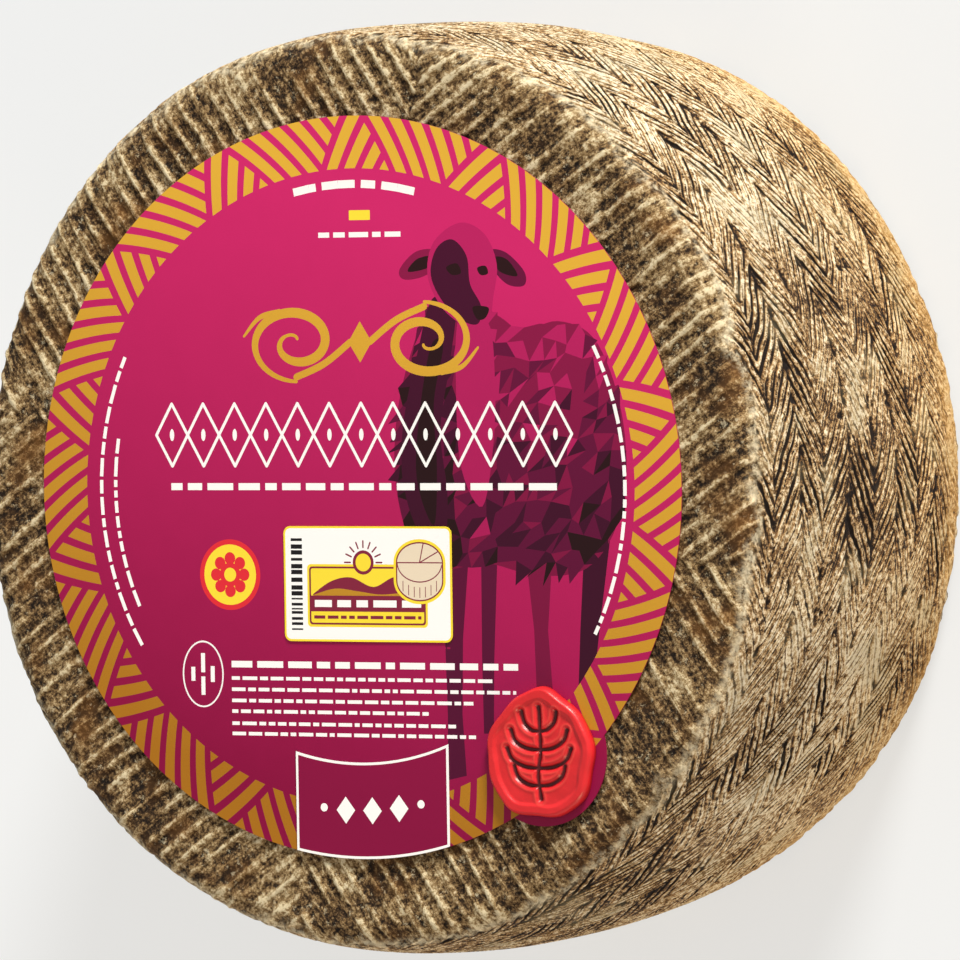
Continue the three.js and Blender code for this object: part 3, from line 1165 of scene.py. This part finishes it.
@dataclass
class SheepPicture:
    """A plain standing sheep in flat tones, its fleece built of facets."""

    seed: int = 5
    cell: float = 3.4
    jitter: float = 1.2
    grid: int = 18
    corner: Point = (8.0, -20.0)
    tones: tuple[Ink, ...] = (
        Ink.FLEECE_LIGHT, Ink.FLEECE, Ink.FLEECE_DARK, Ink.FLEECE_DEEP, Ink.FLEECE_BLACK,
    )

    body: tuple[Point, ...] = (
        (19.0, 38.0), (13.5, 27.0), (10.2, 14.0), (9.8, 1.0), (13.0, -10.5), (21.0, -17.0),
        (32.0, -16.0), (44.0, -18.5), (56.0, -17.0), (63.5, -8.0), (66.0, 6.0), (64.0, 20.0),
        (58.5, 31.5), (50.0, 35.0), (41.5, 33.0), (36.0, 36.0), (28.0, 40.0),
    )
    # The far legs come first.
    legs: tuple[tuple[tuple[Point, ...], Ink], ...] = (
        (((30.5, -14), (34.5, -14), (33.4, -36), (33.0, -52), (30.6, -52), (30.4, -36)),
         Ink.FLEECE_DARK),
        (((55.5, -14), (62.0, -10), (59.0, -30), (57.4, -42), (53.6, -45), (54.4, -30)),
         Ink.FLEECE_DEEP),
        (((20.5, -14), (27.5, -14), (25.8, -32), (25.4, -48), (26.2, -61), (21.6, -62),
          (21.8, -48), (21.4, -32)), Ink.FLEECE_DARK),
        (((41.5, -15), (47.8, -15), (46.6, -30), (47.6, -44), (43.6, -43), (43.2, -30)),
         Ink.FLEECE),
    )
    # The shaded neck and chest, the flank's light, the ears, the head, the eyes and the mouth.
    shapes: tuple[tuple[tuple[Point, ...], Ink], ...] = (
        (((19.5, 40), (15.5, 28), (12.0, 14), (11.5, 2), (15, -9), (21, -14), (22.5, -2),
          (21.0, 12), (23.5, 26), (25.0, 38)), Ink.FLEECE_DEEP),
        (((19.0, 30), (16.0, 16), (15.0, 2), (19.0, -8), (20.0, 4), (19.5, 18), (22.0, 30)),
         Ink.FLEECE_BLACK),
        (((26.0, 36), (25.0, 20), (26.0, 4), (31.0, -4), (34.0, 10), (34.5, 24), (33.0, 35)),
         Ink.FLEECE_LIGHT),
        (((20.6, 50.2), (15.6, 50.0), (11.6, 46.4), (12.4, 44.2), (17.0, 44.6), (20.2, 46.6)),
         Ink.FLEECE),
        (((19.6, 49.0), (15.8, 48.4), (13.6, 45.8), (18.6, 46.6)), Ink.FLEECE_BLACK),
        (((33.6, 50.0), (37.6, 49.6), (42.0, 45.6), (42.0, 42.6), (38.0, 42.8), (34.6, 46.0)),
         Ink.FLEECE_DARK),
        (((35.0, 48.6), (38.0, 48.0), (40.4, 44.6), (36.0, 45.6)), Ink.FLEECE_BLACK),
        (((20.0, 52.0), (26.5, 56.0), (32.5, 53.5), (35.4, 47.0), (34.4, 40.0), (33.6, 36.2),
          (30.4, 33.6), (26.4, 34.6), (21.5, 38.5), (18.4, 45.0)), Ink.FLEECE_LIGHT),
        (((20.6, 50.5), (24.5, 52.5), (28.0, 49.0), (28.8, 43.0), (31.4, 38.4), (30.6, 34.6),
          (26.6, 35.4), (22.0, 39.4), (19.2, 45.0)), Ink.FLEECE_DEEP),
        (((23.0, 46.6), (25.6, 47.4), (26.6, 45.4), (24.4, 45.0)), Ink.FLEECE_BLACK),
        (((30.6, 46.4), (32.6, 46.8), (33.2, 45.2), (31.4, 44.9)), Ink.FLEECE_BLACK),
        (((29.4, 38.2), (33.2, 38.0), (32.4, 35.8), (30.4, 35.6)), Ink.FLEECE_BLACK),
    )

    def tone(self, x: float, y: float, spread: float) -> Ink:
        """The fleece's tone, darker below, on the chest and at the far end."""
        shade = 2.3 - 0.045 * y + spread
        shade += 1.4 if x < 25 else max(0.0, (x - 52) * 0.07)
        return self.tones[int(np.clip(shade, 0, len(self.tones) - 1))]

    def facets(self, ink: InkLayer) -> None:
        """Covers the fleece with facets."""
        pick = np.random.default_rng(self.seed)
        outline = curve(self.body)
        nodes = {
            place: tuple(
                low + step * self.cell + pick.uniform(-self.jitter, self.jitter)
                for low, step in zip(self.corner, place)
            )
            for place in itertools.product(range(self.grid + 1), repeat=2)
        }
        for i, j in itertools.product(range(self.grid), repeat=2):
            square = (nodes[i, j], nodes[i + 1, j], nodes[i + 1, j + 1], nodes[i, j + 1])
            for corners in ((0, 1, 2), (0, 2, 3)):
                triangle = [square[corner] for corner in corners]
                x, y = (sum(point[axis] for point in triangle) / 3 for axis in (0, 1))
                if inside((x, y), outline):
                    ink.fill(triangle, self.tone(x, y, pick.normal(0.0, 0.8)))

    def print_on(self, ink: InkLayer) -> None:
        """Prints the sheep."""
        for outline, tone in self.legs:
            ink.fill(list(outline), tone)
        ink.fill(curve(self.body), Ink.FLEECE)
        self.facets(ink)
        for outline, tone in self.shapes:
            ink.fill(curve(outline), tone)


@dataclass
class FaceLabel:
    """The round label: plait border, sheep, gold scroll, white frieze, rows of small print."""

    seal_margin: float = 1.9
    outline_steps: int = 200

    frieze_low: Point = (-50.0, 4.6)
    frieze_high: Point = (53.0, 18.0)
    lozenges: int = 13
    scroll_at: Point = (1.5, 31.0)
    scroll_steps: int = 70
    scroll_radius: float = 8.4
    rosette_at: Point = (-31.9, -18.7)
    petals: int = 8
    plate_at: Point = (-39.1, -40.1)

    # Each bow of small print: radius, first and last angle, height and seed.
    head_bow: tuple[float, ...] = (64.6, 103.0, 73.5, 1.7, 1)
    side_bows: tuple[tuple[float, ...], ...] = (
        (64.2, 212.0, 154.0, 0.85, 4), (60.6, 205.0, 170.0, 0.85, 5), (65.6, 27.0, -28.0, 0.85, 6),
    )
    # Each row of small print: left end, level, length, height and seed.
    title_rows: tuple[tuple[float, ...], ...] = ((-8.5, 53.8, 20.4, 1.1, 2), (-46.4, 0.2, 95.6, 1.5, 3))
    text_rows: tuple[tuple[float, ...], ...] = (
        (-31.9, -37.9, 72.3, 1.4, 7), (-31.9, -40.9, 66.0, 0.75, 8), (-31.9, -43.3, 70.5, 0.75, 9),
        (-31.9, -45.7, 60.0, 0.75, 10), (-31.9, -48.0, 49.0, 0.75, 11),
        (-31.9, -50.6, 56.0, 0.75, 12), (-31.9, -52.8, 60.5, 0.75, 13),
    )

    def __post_init__(self) -> None:
        """Takes the label's place and size from the frame."""
        low, high = box_mm("face_label")
        self.radius = -low.x
        self.centre = (0.0, high.y - self.radius)
        seal_low, seal_high = box_mm("wax_seal")
        self.seal = ((seal_low.x + seal_high.x) / 2, (seal_low.y + seal_high.y) / 2 - self.centre[1])
        size = seal_high - seal_low
        self.tab_radius = (size.x + size.y) / 4 + self.seal_margin

    def outline(self) -> list[Point]:
        """The label's circle with the tab that reaches out under the seal."""
        reach = math.hypot(*self.seal)
        toward = math.degrees(math.atan2(self.seal[1], self.seal[0]))
        on_label, on_tab = (
            math.degrees(math.acos((reach ** 2 + own ** 2 - other ** 2) / (2 * reach * own)))
            for own, other in ((self.radius, self.tab_radius), (self.tab_radius, self.radius))
        )
        circle = arc(
            (0.0, 0.0), self.radius, toward + on_label, toward - on_label + 360, self.outline_steps
        )
        tab = arc(self.seal, self.tab_radius, toward - 180 + on_tab, toward + 180 - on_tab, 40)
        return [*circle, *tab[1:-1]]

    def frieze(self, ink: InkLayer) -> None:
        """A thin white row of tall lozenges with a drop in each."""
        left, low = self.frieze_low
        right, high = self.frieze_high
        pitch = (right - left) / self.lozenges
        middle = (low + high) / 2
        for index in range(self.lozenges):
            x = left + index * pitch
            centre = x + pitch / 2
            line = [(x, middle), (centre, high), (x + pitch, middle), (centre, low), (x, middle)]
            ink.stroke(line, 0.65, Ink.WHITE)
            ink.fill(oval((centre, middle), 0.55, 1.3, 14), Ink.WHITE)

    def scroll(self, ink: InkLayer) -> None:
        """A gold scroll: two spirals that run out from a lozenge."""
        x, y = self.scroll_at
        for side in (-1.0, 1.0):
            line: list[Point] = []
            widths: list[float] = []
            for step in range(self.scroll_steps + 1):
                share = step / self.scroll_steps
                angle = math.pi * (0.5 + 3.1 * share)
                radius = self.scroll_radius * (1 - share) ** 0.8 + 0.9
                line.append((
                    side * (16.0 - radius * math.cos(angle) * 1.25) + x,
                    y + radius * math.sin(angle) * side * 0.9,
                ))
                widths.append(0.7 + 1.5 * math.sin(math.pi * min(1.0, share * 1.15)) ** 0.8)
            ink.stroke(line, widths, Ink.GOLD)
            arm = [(x + side * out, y + side * up) for out, up in ((2.4, 0), (9, 4.6), (16, 7.4))]
            ink.stroke(curve(arm, closed=False), 1.5, Ink.GOLD)
            tail = [
                (x + side * out, y - side * down) for out, down in ((20, 6.4), (25, 5.4), (29, 1.4))
            ]
            narrowing = [1.6 - 0.09 * step for step in range(13)]
            ink.stroke(curve(tail, closed=False), narrowing, Ink.GOLD)
        ink.fill([(x, y + 4.4), (x - 2.9, y), (x, y - 4.4), (x + 2.9, y)], Ink.GOLD)

    def rosette(self, ink: InkLayer) -> None:
        """A plain yellow round, edged in red, with an eight-petalled red flower."""
        x, y = self.rosette_at
        ink.fill(oval((x, y), 7.6, 7.6, 64), Ink.RED)
        ink.fill(oval((x, y), 6.5, 6.5), Ink.YELLOW)
        for centre in oval((x, y), 3.5, 3.5, self.petals):
            ink.fill(oval(centre, 1.35, 1.35, 16), Ink.RED)
        ink.fill(oval((x, y), 2.6, 2.6, 24), Ink.RED)
        ink.fill(oval((x, y), 1.5, 1.5, 20), Ink.YELLOW)

    def small_print(self, ink: InkLayer) -> None:
        """Every row of words, each drawn as plain bars."""
        ink.bow(*self.head_bow)
        ink.fill(rounded((-0.8, 56.9), (4.4, 59.0), 0.2), Ink.YELLOW)
        for left, level, length, height, seed in self.title_rows:
            ink.row((left, level), length, height, Ink.WHITE, seed)
        for bow in self.side_bows:
            ink.bow(*bow)
        for left, level, length, height, seed in self.text_rows:
            ink.row((left, level), length, height, Ink.WHITE, seed)
        # An oval plate with a few upright bars.
        x, y = self.plate_at
        ink.stroke([*oval((x, y), 5.0, 7.0), (x + 5.0, y)], 0.35, Ink.WHITE)
        for offset, length, seed in ((-2.5, 3.0, 14), (0.0, 9.0, 15), (2.4, 3.4, 16)):
            ink.row((x + offset, y - length / 2), length, 1.0, Ink.WHITE, seed, upright=True)
        for x in (-18.0, 20.0):
            ink.row((x, -34.0), 3.2, 0.35, Ink.FLEECE_LIGHT, 17)

    def build(self) -> bpy.types.Object:
        """Prints and builds the label."""
        ink = InkLayer()
        circle = arc((0.0, 0.0), self.radius, 0, 360, self.outline_steps)
        ink.fill(circle[:-1], Ink.MAGENTA)
        SheepPicture().print_on(ink)
        border = PlaitBorder(self.radius)
        inner = arc((0.0, 0.0), self.radius - border.width, 360, 0, self.outline_steps)
        ink.fill([*circle, *inner], Ink.MAGENTA)
        border.print_on(ink)
        self.scroll(ink)
        self.frieze(ink)
        self.rosette(ink)
        self.small_print(ink)
        return PrintedSheet(
            "face_label", "label_print", self.outline(), self.centre, ink, Ink.DEEP_MAGENTA
        ).build()


@dataclass
class NumberSticker:
    """The white sticker: a bar code where a number would stand, and a small country scene."""

    border: float = 0.45
    corner: float = 1.6
    seed: int = 21
    bar_widths: tuple[float, ...] = (0.35, 0.6, 0.95)
    bar_gaps: tuple[float, ...] = (0.3, 0.5, 0.7)

    # The panel in three layers, each a little smaller: its corners, its rounding and its ink.
    panel: tuple[tuple[Point, Point, float, Ink], ...] = (
        ((-15.0, -9.2), (14.8, 4.2), 0.9, Ink.YELLOW),
        ((-14.5, -8.7), (14.3, 3.7), 0.7, Ink.MAROON),
        ((-14.1, -8.3), (13.9, 3.3), 0.5, Ink.YELLOW),
    )
    sun: Point = (-1.0, 4.6)
    rays: int = 9
    hills: tuple[tuple[tuple[Point, ...], Ink], ...] = (
        (((-13.6, -2.2), (-9.0, 0.6), (-4.0, 1.4), (1.5, -0.6), (7.0, 1.6), (13.4, 0.2)),
         Ink.MAROON),
        (((-13.6, -2.4), (-8.0, -1.0), (-2.0, -1.6), (4.0, -2.2), (13.4, -1.2)), Ink.GOLD),
    )
    hill_foot: tuple[Point, Point] = ((13.4, -2.6), (-13.6, -2.6))

    # The drum of cheese: the middles of its face and its foot, and its half sizes.
    drum_x: float = 12.9
    drum_face: float = 4.6
    drum_foot: float = 0.8
    drum_width: float = 5.5
    drum_depth: float = 4.1

    def build(self) -> bpy.types.Object:
        """Prints and builds the sticker."""
        low, high = box_mm("number_sticker")
        centre = ((low.x + high.x) / 2, (low.y + high.y) / 2)
        x, y = (high.x - low.x) / 2, (high.y - low.y) / 2
        ink = InkLayer()
        inner = (x - self.border, y - self.border)
        ink.fill(
            rounded((-inner[0], -inner[1]), inner, self.corner - self.border), Ink.WHITE
        )
        self.bar_code(ink, x, y)
        self.scene(ink)
        self.cheese(ink)
        outline = rounded((-x, -y), (x, y), self.corner)
        return PrintedSheet(
            "number_sticker", "sticker_paper", outline, centre, ink, Ink.YELLOW
        ).build()

    def bar_code(self, ink: InkLayer, x: float, y: float) -> None:
        """A plain upright bar code down the left edge."""
        pick = np.random.default_rng(self.seed)
        reached = -y + 2.4
        while reached < y - 2.6:
            bar = pick.choice(self.bar_widths)
            ink.fill(rounded((-x + 1.8, reached), (-x + 4.6, reached + bar), 0.05), Ink.BLACK)
            reached += bar + pick.choice(self.bar_gaps)

    def scene(self, ink: InkLayer) -> None:
        """Hills and a sun on a yellow panel with a maroon band."""
        for low, high, corner, tone in self.panel:
            ink.fill(rounded(low, high, corner), tone)
        ink.fill(oval(self.sun, 2.6, 2.6, 24), Ink.MAROON)
        ink.fill(oval(self.sun, 1.9, 1.9, 24), Ink.YELLOW)
        x, y = self.sun
        for ray in range(self.rays):
            angle = math.pi * ray / (self.rays - 1)
            line = [(x + r * math.cos(angle), y + r * math.sin(angle)) for r in (3.2, 4.6)]
            ink.stroke(line, 0.35, Ink.MAROON)
        for ridge, tone in self.hills:
            ink.fill([*curve(ridge, closed=False), *self.hill_foot], tone)
        ink.fill(rounded((-14.3, -5.9), (14.1, -2.5), 0.1), Ink.MAROON)
        ink.row((-13.2, -4.2), 26.4, 1.5, Ink.WHITE, 22)
        ink.row((-13.4, -7.1), 26.6, 0.7, Ink.MAROON, 23)

    def cheese(self, ink: InkLayer) -> None:
        """A small straw-coloured drum of cheese with a wedge marked on its face."""
        x, face, foot, width, depth = (
            self.drum_x, self.drum_face, self.drum_foot, self.drum_width, self.drum_depth
        )
        for grow, tone in ((0.9, Ink.YELLOW), (0.3, Ink.MAROON), (0.0, Ink.STRAW)):
            wide, deep = width + grow, depth + grow
            ink.fill(oval((x, foot), wide, deep), tone)
            ink.fill([(x - wide, foot), (x + wide, foot), (x + wide, face), (x - wide, face)], tone)
            ink.fill(oval((x, face), wide, deep), tone)
        rim = [point for point in oval((x, face), width, depth) if point[1] <= face + 0.1]
        ink.stroke(rim, 0.25, Ink.MAROON)
        for angle_deg in (35, 80):
            reach = math.radians(angle_deg)
            end = (x + width * math.cos(reach), face + depth * math.sin(reach))
            ink.stroke([(x, face), end], 0.25, Ink.MAROON)
        for step in range(1, 8):
            left = x - width + step * width / 4
            low = foot - depth * math.sqrt(1 - ((left - x) / width) ** 2)
            ink.stroke([(left, low + 0.5), (left, low + 2.6)], 0.18, Ink.MAROON)


@dataclass
class AgeTag:
    """The curved tag: a white line round deep magenta, and a row of white lozenges and dots."""

    line: float = 0.55
    steps: int = 24
    lozenges: tuple[float, ...] = (-6.6, 0.0, 6.6)
    lozenge_half_width: float = 2.3
    lozenge_half_height: float = 2.9
    dots: tuple[float, ...] = (-12.0, 12.0)
    dot_radius: float = 0.9

    def __post_init__(self) -> None:
        """Takes the tag's place and size from the frame."""
        low, high = box_mm("age_tag")
        label_low, label_high = box_mm("face_label")
        self.left, self.right = low.x, high.x
        self.outer = -label_low.x
        self.centre = (0.0, label_high.y - self.outer)
        self.inner = math.hypot(min(abs(low.x), abs(high.x)), high.y - self.centre[1])

    def place(self, offset: float) -> Point:
        """The point that far right of the tag's middle, on the arc half-way across it."""
        x = (self.left + self.right) / 2 + offset
        return x, -math.sqrt(((self.outer + self.inner) / 2) ** 2 - x ** 2)

    def build(self) -> bpy.types.Object:
        """Prints and builds the tag."""
        ink = InkLayer()
        ink.fill(self.outline(self.line), Ink.DEEP_MAGENTA)
        wide, high = self.lozenge_half_width, self.lozenge_half_height
        for x, y in map(self.place, self.lozenges):
            ink.fill([(x, y + high), (x - wide, y), (x, y - high), (x + wide, y)], Ink.WHITE)
        for dot in map(self.place, self.dots):
            ink.fill(oval(dot, self.dot_radius, self.dot_radius, 16), Ink.WHITE)
        return PrintedSheet(
            "age_tag", "tag_print", self.outline(0.0), self.centre, ink, Ink.WHITE
        ).build()

    def outline(self, inset: float) -> list[Point]:
        """The tag's outline, moved inwards by the inset."""
        points: list[Point] = []
        ends = (self.left + inset, self.right - inset)
        for radius, (start, end) in ((self.outer - inset, ends), (self.inner + inset, ends[::-1])):
            first, last = (-math.degrees(math.acos(x / radius)) for x in (start, end))
            points += arc((0.0, 0.0), radius, first, last, self.steps)
        return points


# ---- The wax seal ---------------------------------------------------------------------------


@dataclass
class WaxSeal:
    """A pat of red wax with a raised lip, a pressed field and a pressed sprig of leaves."""

    segments: int = 220
    rings: int = 90
    inset: float = 0.25
    taper: float = 0.1
    edge: float = 1.1
    lip: float = 1.9
    field_depth: float = 0.5

    # The pressed sprig: its stem, and each pair of leaves' foot and reach.
    groove_depth: float = 0.7
    groove_half_width: float = 0.62
    bank_height: float = 0.16
    stem: tuple[Point, ...] = ((0.4, -9.6), (-0.3, -4.5), (0.3, 1.0), (0.0, 9.8))
    leaves: tuple[Point, ...] = ((-6.8, 6.2), (-3.1, 7.7), (0.8, 6.8), (4.7, 4.2))

    finish: WaxFinish = field(default_factory=WaxFinish)
    noise: LatticeNoise = field(default_factory=lambda: LatticeNoise(29))

    def __post_init__(self) -> None:
        """Takes the seal's place and size from the frame."""
        low, high = box_mm("wax_seal")
        self.corner = ((low.x + high.x) / 2, (low.y + high.y) / 2, low.z)
        self.half_width, self.half_length = (high.x - low.x) / 2, (high.y - low.y) / 2
        self.thickness = high.z - low.z

    def lines(self) -> list[list[Point]]:
        """The pressed sprig as lines in the seal's own frame."""
        leaves = [
            curve(
                [(0.0, foot), (side * 0.45 * reach, foot + 0.3),
                 (side * 0.85 * reach, foot + 1.8), (side * reach, foot + 4.2)], closed=False,
            )
            for foot, reach in self.leaves for side in (-1, 1)
        ]
        return [curve(self.stem, closed=False), *leaves]

    def distance(self, points: np.ndarray, line: list[Point]) -> np.ndarray:
        """Distance from each point to a line."""
        nearest = np.full(len(points), np.inf)
        for start, end in zip(line, line[1:]):
            a, run = np.array(start), np.array(end) - np.array(start)
            share = np.clip(((points - a) @ run) / (run @ run), 0.0, 1.0)
            away = np.linalg.norm(points - a - share[:, None] * run, axis=1)
            nearest = np.minimum(nearest, away)
        return nearest

    def surface(self) -> tuple[np.ndarray, np.ndarray]:
        """Works out the pat's upper surface, ring by ring from the middle.

        Returns:
            The points in the seal's own frame, and how dark the wax is at each.
        """
        share = np.linspace(0.0, 1.0, self.rings + 1)[1:]
        angles = np.linspace(0.0, TURN, self.segments, endpoint=False)
        shares, turns = (grid.ravel() for grid in np.meshgrid(share, angles, indexing="ij"))
        wave = 0.3 * np.sin(5 * turns) + 0.18 * np.sin(9 * turns + 1.0) - self.inset
        out_x = (self.half_width + wave) * (1.0 - self.taper * np.sin(turns)) * np.cos(turns)
        out_y = (self.half_length + wave) * np.sin(turns)
        flat = np.stack([shares * out_x, shares * out_y], axis=1)
        reach = np.hypot(out_x, out_y) * (1 - shares)
        solid = np.concatenate([flat, np.zeros((len(flat), 1))], axis=1)

        rounding = np.sqrt(1.0 - (1.0 - np.clip(reach / self.edge, 0.0, 1.0)) ** 2)
        from_edge = reach + 0.35 * self.noise.at(solid, 4.0)
        sunk = self.field_depth * smooth(self.lip, self.lip + 1.1, from_edge)
        press, raised = np.zeros(len(flat)), np.zeros(len(flat))
        for line in self.lines():
            far = self.distance(flat, line)
            press = np.maximum(press, np.exp(-(far / self.groove_half_width) ** 2))
            raised = np.maximum(raised, np.exp(-((far - 1.15) / 0.45) ** 2))
        press *= smooth(0.6, 1.6, reach)
        top = self.thickness * rounding - sunk - self.groove_depth * press
        top += self.bank_height * raised * smooth(1.5, 3.0, reach) * (1 - press)
        top += 0.10 * self.noise.at(solid, 2.4) * rounding + 0.12 * self.noise.at(solid, 6.0)
        top = np.clip(top, 0.0, self.thickness)
        top[-self.segments:] = 0.0
        # Darker in the pressed lines as painted shade, partly thin wax; paler on the raised banks as
        # painted highlight.
        tone = 0.34 + 0.66 * press - 0.26 * raised * (1 - press)
        return np.concatenate([flat, top[:, None]], axis=1), tone

    def faces(self) -> list[tuple[int, ...]]:
        """Joins the rings round the upper middle, and closes the flat underside."""
        count = self.segments
        last = 1 + (self.rings - 1) * count
        foot = last + count
        faces: list[tuple[int, ...]] = []
        for k in range(count):
            after = (k + 1) % count
            faces.append((0, 1 + k, 1 + after))
            for start in range(1, last, count):
                faces.append((start + k, start + count + k, start + count + after, start + after))
        return faces + [(foot, last + (k + 1) % count, last + k) for k in range(count)]

    def build(self) -> bpy.types.Object:
        """Models and dresses the seal."""
        surface, tone = self.surface()
        middle = self.thickness - self.field_depth - 0.3 * self.groove_depth
        points = np.concatenate([[[0.0, 0.0, middle]], surface, [[0.0, 0.0, 0.0]]]) + self.corner
        mesh = bpy.data.meshes.new("wax_seal_pat")
        mesh.from_pydata((points * MM).tolist(), [], self.faces())
        values = np.concatenate([[0.5], tone, [0.5]]).astype(np.float32)
        mesh.attributes.new("press", "FLOAT", "POINT").data.foreach_set("value", values)
        mesh.shade_smooth()
        mesh.materials.append(self.finish.material())
        return stand_for(mesh, "wax_seal")


# ---- The studio -----------------------------------------------------------------------------


def direction(azimuth_deg: float, elevation_deg: float) -> Vector:
    """The direction at an azimuth, from +X towards +Y, and an elevation."""
    azimuth, elevation = math.radians(azimuth_deg), math.radians(elevation_deg)
    return Vector((
        math.cos(azimuth) * math.cos(elevation), math.sin(azimuth) * math.cos(elevation),
        math.sin(elevation),
    ))


@dataclass(frozen=True)
class Lamp:
    """A far, broad lamp: where it hangs, its strength, how broad it looks, and its colour."""

    name: str
    azimuth_deg: float
    elevation_deg: float
    strength: float
    angle_deg: float
    tint: str

    def hang(self) -> None:
        """Hangs the lamp."""
        data = bpy.data.lights.new(self.name, "SUN")
        data.energy = self.strength
        data.angle = math.radians(self.angle_deg)
        data.color = linear(self.tint)[:3]
        lamp = add_object(data, self.name)
        lamp.rotation_mode = "QUATERNION"
        toward = direction(self.azimuth_deg, self.elevation_deg)
        lamp.rotation_quaternion = toward.to_track_quat("Z", "Y")


@dataclass(frozen=True)
class Studio:
    """A plain pale floor under soft light, and the camera."""

    floor_colour: str = "F3F1ED"
    floor_matt: str = "8B9095"
    floor_glow: float = 0.70
    floor_size: float = 60.0
    fill_strength: float = 0.44
    lamps: tuple[Lamp, ...] = (
        Lamp("key_lamp", 68.0, 18.0, 5.0, 14.0, "FFFAF3"),
        Lamp("top_lamp", 68.0, 72.0, 0.1, 40.0, "FFFFFF"),
        Lamp("low_lamp", -58.0, 18.0, 1.1, 20.0, "FFE0B4"),
    )

    camera_distance: float = 2.0
    camera_azimuth_deg: float = 2.87
    camera_elevation_deg: float = 59.72
    camera_roll_deg: float = 0.85
    camera_lens: float = 344.9
    aim_right: float = 1.5
    aim_up: float = 0.9

    def floor(self) -> None:
        """Lays a matt paper floor on a light table, out to the horizon."""
        half = self.floor_size / 2
        mesh = bpy.data.meshes.new("studio_floor")
        corners = [(-half, -half, 0.0), (half, -half, 0.0), (half, half, 0.0), (-half, half, 0.0)]
        mesh.from_pydata(corners, [], [(0, 1, 2, 3)])
        material, _, shader = new_material("backlit_matt_paper")
        feed(shader, {
            "Base Color": linear(self.floor_matt), "Emission Color": linear(self.floor_colour),
            "Emission Strength": self.floor_glow, "Roughness": 0.95, "Specular IOR Level": 0.0,
        })
        mesh.materials.append(material)
        add_object(mesh, mesh.name)

    def sky(self) -> None:
        """Fills the room with even light, and shows the camera the floor's colour."""
        world = bpy.data.worlds.new("soft_room")
        world.use_nodes = True
        tree = world.node_tree
        tree.nodes.clear()
        light, seen = (
            add_node(tree, "Background", {"Color": colour, "Strength": strength})
            for colour, strength in (
                ((1.0, 1.0, 1.0, 1.0), self.fill_strength), (linear(self.floor_colour), 1.0),
            )
        )
        path = add_node(tree, "LightPath", out="Is Camera Ray")
        mix = add_node(tree, "MixShader", (path, light, seen))
        add_node(tree, "OutputWorld", {"Surface": mix})
        bpy.context.scene.world = world

    def camera(self) -> None:
        """Sets up the camera, which looks down on the wheel from the +X side."""
        back = direction(self.camera_azimuth_deg, self.camera_elevation_deg)
        level = Vector((0.0, 1.0, 0.0)).cross(back).normalized()
        right = Quaternion(back, -math.radians(self.camera_roll_deg)) @ level
        up = back.cross(right)
        data = bpy.data.cameras.new("camera")
        data.lens = self.camera_lens
        data.sensor_width = 36.0
        data.clip_start, data.clip_end = 0.1, 100.0
        camera = add_object(data, "camera")
        low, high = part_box("cheese_wheel")
        aim = Vector((0.0, 0.0, (low.z + high.z) / 2))
        aim += (right * self.aim_right + up * self.aim_up) * MM
        turned = Matrix((right, up, back)).transposed().to_4x4()
        camera.matrix_world = Matrix.Translation(aim + back * self.camera_distance) @ turned
        bpy.context.scene.camera = camera

    def build(self) -> None:
        """Sets up the floor, the light and the camera."""
        self.camera()
        self.floor()
        self.sky()
        for lamp in self.lamps:
            lamp.hang()
        bpy.context.scene.view_settings.view_transform = "Standard"


def main() -> None:
    """Builds the studio and every piece, in order."""
    logging.basicConfig(level=logging.INFO, format="%(name)s %(message)s")
    for made in (Studio(), CheeseWheel(), FaceLabel(), NumberSticker(), AgeTag(), WaxSeal()):
        made.build()


if __name__ == "__main__":
    main()
